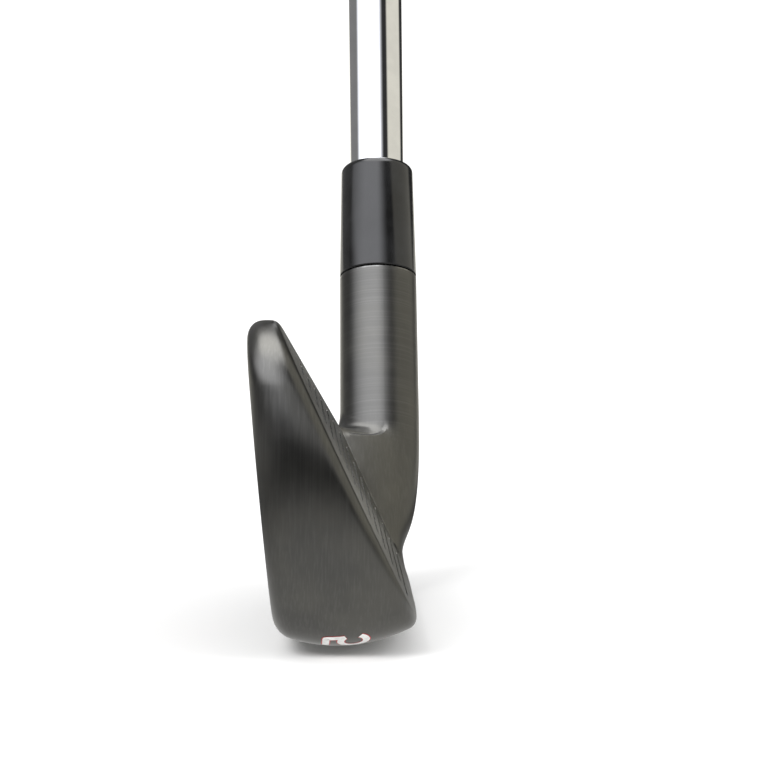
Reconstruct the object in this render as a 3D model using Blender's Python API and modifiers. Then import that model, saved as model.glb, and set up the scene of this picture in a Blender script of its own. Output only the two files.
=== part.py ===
"""Iron golf club: forged cavity-back head, ferrule, stepped steel shaft, taped rubber grip.

The club stands in its playing position. X points at the target, Y runs from the toe towards
the heel and on up the leaning shaft, Z is up. The sole touches the ground plane at the origin.
"""

import math

import bmesh
import bpy
from mathutils import Matrix, Vector

MM = 0.001
FIT_GAP = 0.3 * MM

# Playing position
LOFT = math.radians(25.4)
LIE = math.radians(62.2)
AXIS_X = 8.0 * MM
AXIS_GROUND_Y = 31.4 * MM
CLUB_LENGTH = 965.0 * MM

# Blade: face plane, back plane and the sole that joins them
FACE_GROUND_X = 14.45 * MM
BACK_GROUND_X = -10.25 * MM
BACK_TILT = math.radians(5.4)
BACK_TAPER = math.radians(3.0)

# Front-view outline from the topline's heel end, over the toe, to the sole's heel end.
# Each row: y and z in millimetres, heading in degrees, reach of the curve that follows.
TOPLINE_FALL = 25.0
OUTLINE = (
    (34.5, 29.3, 180.0 - TOPLINE_FALL, 0.33),
    (-15.2, 52.5, 180.0 - TOPLINE_FALL, 0.36),
    (-27.8, 54.85, 180.0, 0.38),
    (-39.2, 46.0, 256.0, 0.34),
    (-41.0, 34.5, 270.0, 0.31),
    (-26.5, 5.1, 352.0, 0.33),
    (0.0, 3.45, 360.0, 0.33),
    (27.0, 3.7, 366.0, 0.33),
)
OUTLINE_STEPS = (5, 5, 10, 4, 14, 6, 6)

# Rounding of the perimeter wall: topline, toe and sole
FACE_EDGE = (0.9 * MM, 2.2 * MM, 1.7 * MM)
BACK_EDGE = (2.5 * MM, 3.3 * MM, 2.9 * MM)
WALL_CROWN = (0.4 * MM, 1.3 * MM, 2.9 * MM)
WALL_DROP = (-0.5 * MM, -0.2 * MM, 1.6 * MM)
EDGE_STEPS = 4
WALL_STEPS = 6
EDGE_WEIGHT = 0.75

# Blend from the blade's heel end up into the hosel
BLEND_STEPS = 16
BLEND_START = (0.80, 0.63)
BLEND_END = (0.86, 0.77)
TURN_SPREAD = 3.0 * MM
FACE_PUSH = 1.05
TOPLINE_PUSH = 1.4
FACE_END_BOW = 2.0 * MM
FACE_END_STEPS = 14
BACK_END_STEPS = 6
HOSEL_START = (30.0 * MM, 38.5 * MM)
HOSEL_TOP = 58.6 * MM
HOSEL_BASE_RADIUS = 6.87 * MM
HOSEL_RADIUS = 6.7 * MM
# Where the topline, the back, the sole and the face arrive on the hosel, in degrees round it
HOSEL_SECTORS = (-84.0, -165.0, -225.0, -300.0, -444.0)

# Score lines, measured up the face from the ground plane
LINE_COUNT = 15
LINE_FIRST = 10.2 * MM
LINE_PITCH = 2.9 * MM
LINE_WIDTH = 0.8 * MM
LINE_DEPTH = 0.45 * MM
LINE_TOE_Y = -23.0 * MM
LINE_HEEL_Y = 21.0 * MM
LINE_TOPLINE_MARGIN = 5.4 * MM

# Cavity behind the face
FACE_THICKNESS = 2.6 * MM
POCKET_CORNERS = (
    (-31.5, 19.0), (-33.5, 33.0), (-29.5, 47.8), (-16.5, 48.3), (22.5, 30.2), (22.5, 19.0)
)
POCKET_ROUND = 3.5 * MM
CHANNEL_Y = (-27.5 * MM, 24.5 * MM)
CHANNEL_Z = (5.6 * MM, 22.0 * MM)
CHANNEL_ROUND = 2.5 * MM
CHANNEL_RELIEF = 0.2 * MM
MUSCLE_THICKNESS = 2.8 * MM

# Pieces in the cavity
WEIGHT_RADIUS = 4.0 * MM
WEIGHT_LENGTH = 7.0 * MM
WEIGHT_CENTRE = (-2.4 * MM, 16.2 * MM)
BADGE_THICKNESS = 1.0 * MM
BADGE_PAD_THICKNESS = 0.8 * MM
BADGE_INSET = 1.5 * MM
DAMPER_Y = (-22.0 * MM, 17.0 * MM)
DAMPER_TOP_Z = 16.0 * MM

# Ferrule
FERRULE_LENGTH = 20.9 * MM
FERRULE_TOP_RADIUS = 6.3 * MM
FERRULE_SHOULDER = 1.2 * MM

# Shaft
TIP_RADIUS = 4.7 * MM
BUTT_RADIUS = 7.62 * MM
TIP_BORE_RADIUS = 4.0 * MM
BUTT_BORE_RADIUS = 7.25 * MM
BORE_DEPTH = 31.0 * MM
BORE_RADIUS = TIP_RADIUS + FIT_GAP
STEP_COUNT = 14
FIRST_STEP = 262.0 * MM
STEP_PITCH = 29.0 * MM
STEP_RAMP = 1.2 * MM

# Brass tip weight
PLUG_FLANGE = 1.0 * MM
PLUG_LENGTH = 16.0 * MM
PLUG_RADIUS = 3.6 * MM

# Band, tape, grip and cap
BAND_START = 648.0 * MM
BAND_LENGTH = 38.0 * MM
SKIN = 0.35 * MM
GRIP_LENGTH = 267.0 * MM
GRIP_BELL = 55.0 * MM
GRIP_LIP = 0.9 * MM
GRIP_MOUTH_RADIUS = 10.3 * MM
GRIP_WAIST_RADIUS = 11.4 * MM
GRIP_END_RADIUS = 13.3 * MM
CAP_THICKNESS = 4.0 * MM
CAP_EDGE = 1.3 * MM
VENT_RADIUS = 1.6 * MM

ROUND = 40


def axis_direction():
    return Vector((0.0, math.cos(LIE), math.sin(LIE)))


def axis_point(distance):
    """A point on the shaft's axis, at a distance from the ground along it."""
    return Vector((AXIS_X, AXIS_GROUND_Y, 0.0)) + axis_direction() * distance


def axis_frame(distance):
    """A matrix whose Z runs up the shaft and whose origin is a distance along it."""
    turn = Matrix.Rotation(LIE - math.pi / 2, 4, "X")
    return Matrix.Translation(axis_point(distance)) @ turn


def face_x(z):
    return FACE_GROUND_X - z * math.tan(LOFT)


def back_x(y, z):
    return BACK_GROUND_X - z * math.tan(BACK_TILT) + y * math.tan(BACK_TAPER)


def bezier(a, b, c, d, t):
    s = 1.0 - t
    return a * s**3 + b * (3 * t * s * s) + c * (3 * t * t * s) + d * t**3


def heading(degrees):
    angle = math.radians(degrees)
    return Vector((math.cos(angle), math.sin(angle)))


def front_outline():
    """The blade's outline seen from the target: (y, z) points from heel top to heel bottom."""
    points = []
    for index, steps in enumerate(OUTLINE_STEPS):
        y0, z0, angle0, reach = OUTLINE[index]
        y1, z1, angle1, _ = OUTLINE[index + 1]
        start = Vector((y0, z0)) * MM
        end = Vector((y1, z1)) * MM
        length = (end - start).length * reach
        leave = start + heading(angle0) * length
        arrive = end - heading(angle1) * length
        last = index == len(OUTLINE_STEPS) - 1
        for step in range(steps + last):
            points.append(bezier(start, leave, arrive, end, step / steps))
    return points


def outward_normals(points):
    normals = []
    for index in range(len(points)):
        before = points[max(index - 1, 0)]
        after = points[min(index + 1, len(points) - 1)]
        along = (after - before).normalized()
        normals.append(Vector((along.y, -along.x)))
    return normals


def mixed(values, top, toe, sole):
    return values[0] * top + values[1] * toe + values[2] * sole


def rounded_corner(start, corner, end):
    """A weighted curve that rounds a corner, from one tangent point to the other."""
    curve = []
    for step in range(EDGE_STEPS + 1):
        t = step / EDGE_STEPS
        a = (1 - t) ** 2
        b = 2 * EDGE_WEIGHT * t * (1 - t)
        c = t * t
        curve.append((start * a + corner * b + end * c) / (a + b + c))
    return curve


def wall_profile(point, normal):
    """The wall from face to back at one outline point, as (x, outset) pairs."""
    top = max(normal.y, 0.0) ** 2
    sole = max(-normal.y, 0.0) ** 2
    toe = 1.0 - top - sole
    x_face = face_x(point.y)
    x_back = back_x(point.x, point.y)
    width = x_face - x_back
    crown = mixed(WALL_CROWN, top, toe, sole)
    drop = mixed(WALL_DROP, top, toe, sole)
    beyond = point + normal
    face_slope = face_x(beyond.y) - x_face
    back_slope = back_x(beyond.x, beyond.y) - x_back

    def wall_point(depth):
        part = depth / width
        return Vector((x_face - depth, 4 * crown * part * (1 - part) + drop * part))

    def corner(depth, x_plane, slope):
        at = wall_point(depth)
        rise = (4 * crown * (1 - 2 * depth / width) + drop) / width
        step = (at.x - x_plane - slope * at.y) / (1 + slope * rise)
        tip = Vector((at.x - step, at.y + rise * step))
        along = Vector((slope, 1.0)).normalized()
        return at, tip, tip - along * (at - tip).length

    front = min(mixed(FACE_EDGE, top, toe, sole), 0.45 * width)
    rear = min(mixed(BACK_EDGE, top, toe, sole), 0.45 * width)
    wall_start, face_tip, face_end = corner(front, x_face, face_slope)
    wall_end, back_tip, back_end = corner(width - rear, x_back, back_slope)
    profile = rounded_corner(face_end, face_tip, wall_start)
    for step in range(1, WALL_STEPS):
        profile.append(wall_point(front + (width - rear - front) * step / WALL_STEPS))
    profile += rounded_corner(wall_end, back_tip, back_end)
    return profile


def blade_wall():
    """The perimeter wall as rows of points, one row for each outline point."""
    outline = front_outline()
    rows = []
    for point, normal in zip(outline, outward_normals(outline)):
        row = []
        for x, outset in wall_profile(point, normal):
            z = max(point.y + normal.y * outset, 0.0)
            row.append(Vector((x, point.x + normal.x * outset, z)))
        rows.append(row)
    return rows


def smooth_step(value):
    value = min(max(value, 0.0), 1.0)
    return value * value * (3 - 2 * value)


def face_push(t):
    """How far forward the blend leaves the face, from its low end (0) to its top end (1)."""
    rise = FACE_PUSH * smooth_step(t / 0.4)
    return rise + (TOPLINE_PUSH - rise) * smooth_step((t - 0.75) / 0.25)


def end_line(start, end, start_along, end_along, steps, bow, push, x_at):
    """Points and directions along the edge where a flat side of the blade ends at the heel."""
    points = []
    directions = []
    for step in range(1, steps + 1):
        t = step / (steps + 1)
        swell = math.sin(math.pi * t)
        point = start.lerp(end, t)
        point.y -= bow * swell
        point.x = x_at(point.y, point.z)
        along = start_along.lerp(end_along, t)
        along.x += push(t)
        points.append(point)
        directions.append(along.normalized())
    return points, directions


def toeward_to_heelward(pair, angle):
    """A value between the two of a pair: the first on the hosel's toe side, the second opposite."""
    return pair[0] + (pair[1] - pair[0]) * (1 + math.sin(angle)) / 2


def handle_lengths(start, along, end, axis, angle):
    """Lengths of the two handles of a blend curve, from where its end tangents pass closest."""
    span = end - start
    distance = span.length
    across = along.dot(axis)
    spread = max(1 - across * across, 1e-6)
    first = (span.dot(along) - span.dot(axis) * across) / spread
    second = (span.dot(axis) - span.dot(along) * across) / spread
    first = min(max(first, 0.15 * distance), distance)
    second = min(max(second, 0.15 * distance), distance)
    first *= toeward_to_heelward(BLEND_START, angle)
    second *= toeward_to_heelward(BLEND_END, angle)
    return first, second


def inner_fractions(count):
    return [(index + 1) / (count + 1) for index in range(count)]


def angles_between(start, end, fractions):
    return [math.radians(start + (end - start) * part) for part in fractions]


def fractions_along(points):
    """How far along a row of points each one is, from 0 to 1, with more room where it turns."""
    steps = [after - before for before, after in zip(points, points[1:])]
    turns = [a.angle(b) * TURN_SPREAD / 2 for a, b in zip(steps, steps[1:])]
    spans = [step.length for step in steps]
    for index, turn in enumerate(turns):
        spans[index] += turn
        spans[index + 1] += turn
    return [sum(spans[:count]) / sum(spans) for count in range(len(points))]


def heel_rings(rows):
    """Rings of points from the blade's heel end, through the blend, to the hosel's top."""
    top_row, low_row = rows[0], rows[-1]
    top_along = [(a - b).normalized() for a, b in zip(rows[0], rows[1])]
    low_along = [(a - b).normalized() for a, b in zip(rows[-1], rows[-2])]
    for along, part in zip(top_along, fractions_along(top_row)):
        along.x += TOPLINE_PUSH * (1 - part) ** 2
        along.normalize()
    back_points, back_along = end_line(
        top_row[-1], low_row[-1], top_along[-1], low_along[-1], BACK_END_STEPS,
        0.0, lambda t: 0.0, back_x
    )
    face_points, face_along = end_line(
        low_row[0], top_row[0], low_along[0], top_along[0], FACE_END_STEPS,
        FACE_END_BOW, face_push, lambda y, z: face_x(z)
    )
    ring = top_row + back_points + low_row[::-1] + face_points
    along = top_along + back_along + low_along[::-1] + face_along
    topline, back, sole, face, around = HOSEL_SECTORS
    angles = angles_between(topline, back, fractions_along(top_row))
    angles += angles_between(back, sole, inner_fractions(BACK_END_STEPS))
    angles += angles_between(sole, face, fractions_along(low_row[::-1]))
    angles += angles_between(face, around, inner_fractions(FACE_END_STEPS))
    axis = axis_direction()
    heelward = Vector((0.0, math.sin(LIE), -math.cos(LIE)))

    def hosel_point(distances, radius, angle):
        centre = axis_point(toeward_to_heelward(distances, angle))
        forward = Vector((math.cos(angle), 0.0, 0.0))
        return centre + (forward + heelward * math.sin(angle)) * radius

    hosel = [hosel_point(HOSEL_START, HOSEL_BASE_RADIUS, angle) for angle in angles]
    rings = [ring]
    for step in range(1, BLEND_STEPS + 1):
        t = step / BLEND_STEPS
        points = []
        for start, direction, end, angle in zip(ring, along, hosel, angles):
            leave, arrive = handle_lengths(start, direction, end, axis, angle)
            points.append(bezier(start, start + direction * leave, end - axis * arrive, end, t))
        rings.append(points)
    top = (HOSEL_TOP, HOSEL_TOP)
    rings.append([hosel_point(top, HOSEL_RADIUS, angle) for angle in angles])
    return rings


def new_object(name, mesh, collection):
    item = bpy.data.objects.new(name, mesh)
    collection.objects.link(item)
    return item


def finish_mesh(name, bm, smooth_angle=math.radians(30)):
    mesh = bpy.data.meshes.new(name)
    bm.normal_update()
    bm.to_mesh(mesh)
    bm.free()
    mesh.shade_smooth()
    mesh.set_sharp_from_angle(angle=smooth_angle)
    return mesh


def head_blank():
    """The forging before any cut: perimeter wall, flat face and back, heel blend and hosel."""
    bm = bmesh.new()
    rows = blade_wall()
    rings = heel_rings(rows)
    wall = [[bm.verts.new(point) for point in row] for row in rows]
    for row, following in zip(wall, wall[1:]):
        for a, b, c, d in zip(row, row[1:], following[1:], following):
            bm.faces.new((a, b, c, d))
    top_row, low_row = wall[0], wall[-1]
    width = len(top_row)
    back_edge = [bm.verts.new(point) for point in rings[0][width:width + BACK_END_STEPS]]
    face_edge = [bm.verts.new(point) for point in rings[0][-FACE_END_STEPS:]]
    bm.faces.new([row[0] for row in wall] + face_edge)
    bm.faces.new([row[-1] for row in reversed(wall)] + back_edge)
    before = top_row + back_edge + low_row[::-1] + face_edge
    for points in rings[1:]:
        after = [bm.verts.new(point) for point in points]
        for i in range(len(after)):
            j = (i + 1) % len(after)
            bm.faces.new((before[i], before[j], after[j], after[i]))
        before = after
    bm.faces.new(before)
    bmesh.ops.recalc_face_normals(bm, faces=bm.faces)
    return finish_mesh("head", bm)


def prism(name, outline, x_near, x_far, collection):
    """A closed prism along X over a (y, z) outline; each end's x may follow y and z."""
    bm = bmesh.new()
    near = [bm.verts.new((x_near(y, z), y, z)) for y, z in outline]
    far = [bm.verts.new((x_far(y, z), y, z)) for y, z in outline]
    bm.faces.new(near)
    bm.faces.new(far[::-1])
    for i in range(len(outline)):
        j = (i + 1) % len(outline)
        bm.faces.new((near[i], far[i], far[j], near[j]))
    bmesh.ops.recalc_face_normals(bm, faces=bm.faces)
    return new_object(name, finish_mesh(name, bm), collection)


def rounded_outline(corners, radius, steps=4):
    """A closed outline with each corner cut back by radius and rounded."""
    points = []
    count = len(corners)
    for index, corner in enumerate(corners):
        before = (corners[index - 1] - corner).normalized() * radius
        after = (corners[(index + 1) % count] - corner).normalized() * radius
        for step in range(steps + 1):
            t = step / steps
            points.append(corner + before * (1 - t) ** 2 + after * t * t)
    return points


def block(name, y_range, z_range, radius, x_near, x_far, collection):
    """A prism along X with a rounded rectangular front view."""
    corners = [Vector((y, z)) for y, z in (
        (y_range[0], z_range[0]), (y_range[0], z_range[1]),
        (y_range[1], z_range[1]), (y_range[1], z_range[0]),
    )]
    return prism(name, rounded_outline(corners, radius), x_near, x_far, collection)


def cylinder(name, radius, length, matrix, collection):
    bpy.ops.mesh.primitive_cylinder_add(vertices=ROUND, radius=radius, depth=length)
    item = bpy.context.object
    item.name = name
    item.data.name = name
    for owner in item.users_collection:
        owner.objects.unlink(item)
    collection.objects.link(item)
    item.matrix_world = matrix
    return item


def turned(name, profile, distance, collection):
    """A piece turned about the shaft's axis from a closed (radius, height) profile.

    The profile runs down the outer side and back up the inner one.
    """
    bm = bmesh.new()
    verts = [bm.verts.new((radius, 0.0, height)) for radius, height in profile]
    for i in range(len(verts)):
        bm.edges.new((verts[i], verts[(i + 1) % len(verts)]))
    item = new_object(name, finish_mesh(name, bm), collection)
    screw = item.modifiers.new("Turn", "SCREW")
    screw.axis = "Z"
    screw.steps = ROUND
    screw.render_steps = ROUND
    screw.use_merge_vertices = True
    screw.merge_threshold = 0.00001
    screw.use_smooth_shade = True
    item.matrix_world = axis_frame(distance)
    return item


def ring_profile(inner, outer_bottom, outer_top, length):
    return [(outer_top, length), (outer_bottom, 0.0), (inner, 0.0), (inner, length)]


def cut(item, cutter):
    cutter.hide_render = True
    cutter.display_type = "WIRE"
    boolean = item.modifiers.new("Cut " + cutter.name, "BOOLEAN")
    boolean.operation = "DIFFERENCE"
    boolean.object = cutter


def material(name, colour, roughness, metallic):
    finish = bpy.data.materials.new(name)
    finish.use_nodes = True
    shader = finish.node_tree.nodes["Principled BSDF"]
    shader.inputs["Base Color"].default_value = (*colour, 1.0)
    shader.inputs["Roughness"].default_value = roughness
    shader.inputs["Metallic"].default_value = metallic
    finish.diffuse_color = (*colour, 1.0)
    return finish


def topline_z(y):
    """Height of the straight topline at y."""
    _, line_start, *_ = OUTLINE
    return line_start[1] * MM - (y - line_start[0] * MM) * math.tan(math.radians(TOPLINE_FALL))


def score_line_end(height_up_face):
    """Heel end of a score line: the common end, or earlier where the topline comes down."""
    room = topline_z(0.0) - (height_up_face + LINE_TOPLINE_MARGIN) * math.cos(LOFT)
    return min(LINE_HEEL_Y, room / math.tan(math.radians(TOPLINE_FALL)))


def score_line_cutters(collection):
    """One bar for each score line, sunk into the face plane."""
    bm = bmesh.new()
    tilt = Matrix.Rotation(-LOFT, 4, "Y")
    face_origin = Vector((FACE_GROUND_X, 0.0, 0.0))
    up_face = Vector((-math.sin(LOFT), 0.0, math.cos(LOFT)))
    for index in range(LINE_COUNT):
        up = LINE_FIRST + index * LINE_PITCH
        end = score_line_end(up)
        length = end - LINE_TOE_Y
        centre = face_origin + up_face * up + Vector((0.0, (end + LINE_TOE_Y) / 2, 0.0))
        size = Matrix.Diagonal((2 * LINE_DEPTH, length, LINE_WIDTH, 1.0))
        bmesh.ops.create_cube(bm, size=1.0, matrix=Matrix.Translation(centre) @ tilt @ size)
    return new_object("score_line_cutters", finish_mesh("score_line_cutters", bm), collection)


def pocket_front(z):
    """The face's rear surface, seen as the pocket's floor."""
    return face_x(z) - FACE_THICKNESS / math.cos(LOFT)


def channel_front(z):
    return pocket_front(z) + CHANNEL_RELIEF


def muscle_inside(y, z):
    return back_x(y, z) + MUSCLE_THICKNESS


def pocket_corners():
    return [Vector((y, z)) * MM for y, z in POCKET_CORNERS]


def build_head(parts, cutters):
    head = new_object("head", head_blank(), parts)
    behind = 60.0 * MM
    pocket = prism(
        "pocket_cutter", rounded_outline(pocket_corners(), POCKET_ROUND),
        lambda y, z: pocket_front(z), lambda y, z: -behind, cutters
    )
    channel = block(
        "channel_cutter", CHANNEL_Y, CHANNEL_Z, CHANNEL_ROUND,
        lambda y, z: channel_front(z), muscle_inside, cutters
    )
    weight_depth = WEIGHT_LENGTH + 2 * FIT_GAP
    overlap = 1.0 * MM
    weight_middle = CHANNEL_Y[0] - (weight_depth - overlap) / 2
    weight_bore = cylinder(
        "weight_bore_cutter", WEIGHT_RADIUS + FIT_GAP, weight_depth + overlap,
        weight_matrix(weight_middle), cutters
    )
    bore_top = HOSEL_TOP + overlap
    bore_bottom = HOSEL_TOP - BORE_DEPTH
    hosel_bore = cylinder(
        "hosel_bore_cutter", BORE_RADIUS, bore_top - bore_bottom,
        axis_frame((bore_top + bore_bottom) / 2), cutters
    )
    for cutter in (pocket, channel, weight_bore, hosel_bore, score_line_cutters(cutters)):
        cut(head, cutter)
    return head


def weight_matrix(y):
    x, z = WEIGHT_CENTRE
    return Matrix.Translation((x, y, z)) @ Matrix.Rotation(math.pi / 2, 4, "X")


def build_toe_weight(parts):
    middle = CHANNEL_Y[0] - FIT_GAP - WEIGHT_LENGTH / 2
    return cylinder("toe_weight", WEIGHT_RADIUS, WEIGHT_LENGTH, weight_matrix(middle), parts)


def build_damper(parts):
    z_range = (CHANNEL_Z[0] + FIT_GAP, DAMPER_TOP_Z)
    return block(
        "cavity_damper", DAMPER_Y, z_range, CHANNEL_ROUND,
        lambda y, z: channel_front(z) - 2 * FIT_GAP,
        lambda y, z: muscle_inside(y, z) + FIT_GAP, parts
    )


def inset_corners(corners, inset):
    """A convex outline's corners, moved in by the same distance from every side."""
    count = len(corners)
    moved = []
    for index, corner in enumerate(corners):
        before = (corner - corners[index - 1]).normalized()
        after = (corners[(index + 1) % count] - corner).normalized()
        side = Vector((before.y, -before.x)) + Vector((after.y, -after.x))
        moved.append(corner + side * inset / (1 + before.dot(after)))
    return moved


def build_badge(parts):
    corners = inset_corners(pocket_corners(), BADGE_INSET)
    outline = rounded_outline(corners, POCKET_ROUND)
    pad_near = FIT_GAP
    pad_far = pad_near + BADGE_PAD_THICKNESS
    badge_near = pad_far + FIT_GAP
    badge_far = badge_near + BADGE_THICKNESS
    pad = prism(
        "badge_pad", outline, lambda y, z: pocket_front(z) - pad_near,
        lambda y, z: pocket_front(z) - pad_far, parts
    )
    badge = prism(
        "cavity_badge", outline, lambda y, z: pocket_front(z) - badge_near,
        lambda y, z: pocket_front(z) - badge_far, parts
    )
    return pad, badge


def build_ferrule(parts):
    length = FERRULE_LENGTH - FIT_GAP
    profile = [(BORE_RADIUS, length)]
    steps = 5
    for step in range(steps + 1):
        angle = math.pi / 2 * (1 - step / steps)
        radius = FERRULE_TOP_RADIUS - FERRULE_SHOULDER * (1 - math.cos(angle))
        profile.append((radius, length - FERRULE_SHOULDER * (1 - math.sin(angle))))
    profile += [(HOSEL_RADIUS, 0.0), (BORE_RADIUS, 0.0)]
    return turned("ferrule", profile, HOSEL_TOP + FIT_GAP, parts)


def shaft_start():
    return HOSEL_TOP - BORE_DEPTH + 2 * FIT_GAP + PLUG_FLANGE


def shaft_end():
    return CLUB_LENGTH - CAP_THICKNESS - FIT_GAP


def build_shaft(parts):
    """A stepped tube: each step adds the same amount to the radius."""
    start = shaft_start()
    top = shaft_end() - start
    growth = (BUTT_RADIUS - TIP_RADIUS) / STEP_COUNT
    outer = [(TIP_RADIUS, 0.0)]
    for index in range(STEP_COUNT):
        height = FIRST_STEP + index * STEP_PITCH - start
        outer.append((TIP_RADIUS + index * growth, height))
        outer.append((TIP_RADIUS + (index + 1) * growth, height + STEP_RAMP))
    outer.append((BUTT_RADIUS, top))
    last_step = FIRST_STEP + (STEP_COUNT - 1) * STEP_PITCH - start
    inner = [
        (TIP_BORE_RADIUS, 0.0), (TIP_BORE_RADIUS, FIRST_STEP - start),
        (BUTT_BORE_RADIUS, last_step + STEP_RAMP), (BUTT_BORE_RADIUS, top),
    ]
    return turned("shaft", outer[::-1] + inner, start, parts)


def build_tip_weight(parts):
    """A flanged plug: its flange covers the shaft's tip and its stem sits in the tube."""
    start = HOSEL_TOP - BORE_DEPTH + FIT_GAP
    taper = 0.3 * MM
    bm = bmesh.new()
    profile = [
        (0.0, PLUG_LENGTH), (PLUG_RADIUS - taper, PLUG_LENGTH), (PLUG_RADIUS, PLUG_FLANGE),
        (TIP_RADIUS, PLUG_FLANGE), (TIP_RADIUS, 0.0), (0.0, 0.0),
    ]
    verts = [bm.verts.new((radius, 0.0, height)) for radius, height in profile]
    for a, b in zip(verts, verts[1:]):
        bm.edges.new((a, b))
    item = new_object("tip_weight", finish_mesh("tip_weight", bm), parts)
    screw = item.modifiers.new("Turn", "SCREW")
    screw.axis = "Z"
    screw.steps = ROUND
    screw.render_steps = ROUND
    screw.use_merge_vertices = True
    screw.merge_threshold = 0.00001
    item.matrix_world = axis_frame(start)
    return item


def build_skins(parts):
    """The plain film band and the tape under the grip, each a thin open tube."""
    inner = BUTT_RADIUS + FIT_GAP
    band_profile = ring_profile(inner, inner + SKIN, inner + SKIN, BAND_LENGTH)
    band = turned("shaft_band", band_profile, BAND_START, parts)
    tape_start = CLUB_LENGTH - GRIP_LENGTH + 2 * MM
    tape_length = shaft_end() - 2 * MM - tape_start
    tape_profile = ring_profile(inner, inner + SKIN, inner + SKIN, tape_length)
    tape = turned("grip_tape", tape_profile, tape_start, parts)
    return band, tape


def grip_radius(height, length):
    """Outer radius of the grip: a slow taper, then a bell towards the cap."""
    radius = GRIP_MOUTH_RADIUS + (GRIP_WAIST_RADIUS - GRIP_MOUTH_RADIUS) * height / length
    bell = max(0.0, (height - length + GRIP_BELL) / GRIP_BELL)
    return radius + (GRIP_END_RADIUS - GRIP_WAIST_RADIUS) * bell * bell


def build_grip(parts):
    start = CLUB_LENGTH - GRIP_LENGTH
    length = shaft_end() - start
    inner = BUTT_RADIUS + 2 * FIT_GAP + SKIN
    heights = [GRIP_LIP, (length - GRIP_BELL) / 2]
    steps = 6
    heights += [length - GRIP_BELL * (1 - step / steps) for step in range(steps + 1)]
    outer = [(grip_radius(height, length), height) for height in heights]
    profile = outer[::-1] + [(GRIP_MOUTH_RADIUS - GRIP_LIP, 0.0), (inner, 0.0), (inner, length)]
    return turned("grip", profile, start, parts)


def build_grip_cap(parts):
    profile = [(VENT_RADIUS, CAP_THICKNESS)]
    steps = 4
    for step in range(steps + 1):
        angle = math.pi / 2 * (1 - step / steps)
        radius = GRIP_END_RADIUS - CAP_EDGE * (1 - math.cos(angle))
        profile.append((radius, CAP_THICKNESS - CAP_EDGE * (1 - math.sin(angle))))
    profile += [(GRIP_END_RADIUS, 0.0), (VENT_RADIUS, 0.0)]
    return turned("grip_cap", profile, CLUB_LENGTH - CAP_THICKNESS, parts)


def new_collection(name):
    collection = bpy.data.collections.new(name)
    bpy.context.scene.collection.children.link(collection)
    return collection


def main():
    for item in list(bpy.data.objects):
        bpy.data.objects.remove(item, do_unlink=True)
    parts = new_collection("iron_golf_club")
    cutters = new_collection("iron_golf_club_cutters")
    pad, badge = build_badge(parts)
    band, tape = build_skins(parts)
    finishes = (
        (build_head(parts, cutters), "black_satin_steel", (0.07, 0.065, 0.06), 0.38, 1.0),
        (build_toe_weight(parts), "tungsten", (0.30, 0.30, 0.31), 0.35, 1.0),
        (build_damper(parts), "damper_elastomer", (0.02, 0.02, 0.02), 0.7, 0.0),
        (pad, "foam_tape", (0.35, 0.35, 0.35), 0.9, 0.0),
        (badge, "badge_metal", (0.30, 0.30, 0.30), 0.3, 1.0),
        (build_ferrule(parts), "ferrule_plastic", (0.01, 0.01, 0.01), 0.15, 0.0),
        (build_shaft(parts), "chrome_plate", (0.80, 0.80, 0.82), 0.06, 1.0),
        (build_tip_weight(parts), "brass", (0.72, 0.55, 0.25), 0.3, 1.0),
        (band, "band_film", (0.05, 0.05, 0.055), 0.35, 0.0),
        (tape, "grip_tape_paper", (0.62, 0.58, 0.48), 0.8, 0.0),
        (build_grip(parts), "grip_rubber", (0.03, 0.03, 0.03), 0.75, 0.0),
        (build_grip_cap(parts), "cap_rubber", (0.03, 0.03, 0.03), 0.65, 0.0),
    )
    for item, name, colour, roughness, metallic in finishes:
        item.data.materials.append(material(name, colour, roughness, metallic))


main()
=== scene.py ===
"""Finished looks of the iron golf club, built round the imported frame.

Every piece keeps the frame's places and sizes: X points at the target, Y runs from the toe to
the heel and on up the leaning shaft, Z is up, and the sole touches the floor at the origin.
"""

import math

import bmesh
import bpy
from mathutils import Matrix, Vector
from mathutils.bvhtree import BVHTree


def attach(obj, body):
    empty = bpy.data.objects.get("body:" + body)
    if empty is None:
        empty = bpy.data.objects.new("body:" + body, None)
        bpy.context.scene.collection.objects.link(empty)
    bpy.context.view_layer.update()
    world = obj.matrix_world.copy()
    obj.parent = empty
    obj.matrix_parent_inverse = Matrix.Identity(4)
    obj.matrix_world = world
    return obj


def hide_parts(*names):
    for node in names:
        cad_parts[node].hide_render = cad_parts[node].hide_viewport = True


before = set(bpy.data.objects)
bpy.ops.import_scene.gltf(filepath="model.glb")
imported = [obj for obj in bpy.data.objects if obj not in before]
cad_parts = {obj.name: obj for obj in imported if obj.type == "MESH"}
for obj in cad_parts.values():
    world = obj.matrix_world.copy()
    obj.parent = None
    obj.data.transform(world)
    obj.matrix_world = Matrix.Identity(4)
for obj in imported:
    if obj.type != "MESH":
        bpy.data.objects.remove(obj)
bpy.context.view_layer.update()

MM = 0.001
GAP = 0.3 * MM

# Playing position
LOFT = math.radians(25.4)
LIE = math.radians(62.2)
AXIS_X = 8.0 * MM
AXIS_GROUND_Y = 31.4 * MM
CLUB_LENGTH = 965.0 * MM

# Blade: face plane, back plane and the sole that joins them
FACE_GROUND_X = 14.45 * MM
BACK_GROUND_X = -10.25 * MM
BACK_TILT = math.radians(5.4)
BACK_TAPER = math.radians(3.0)

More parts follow.
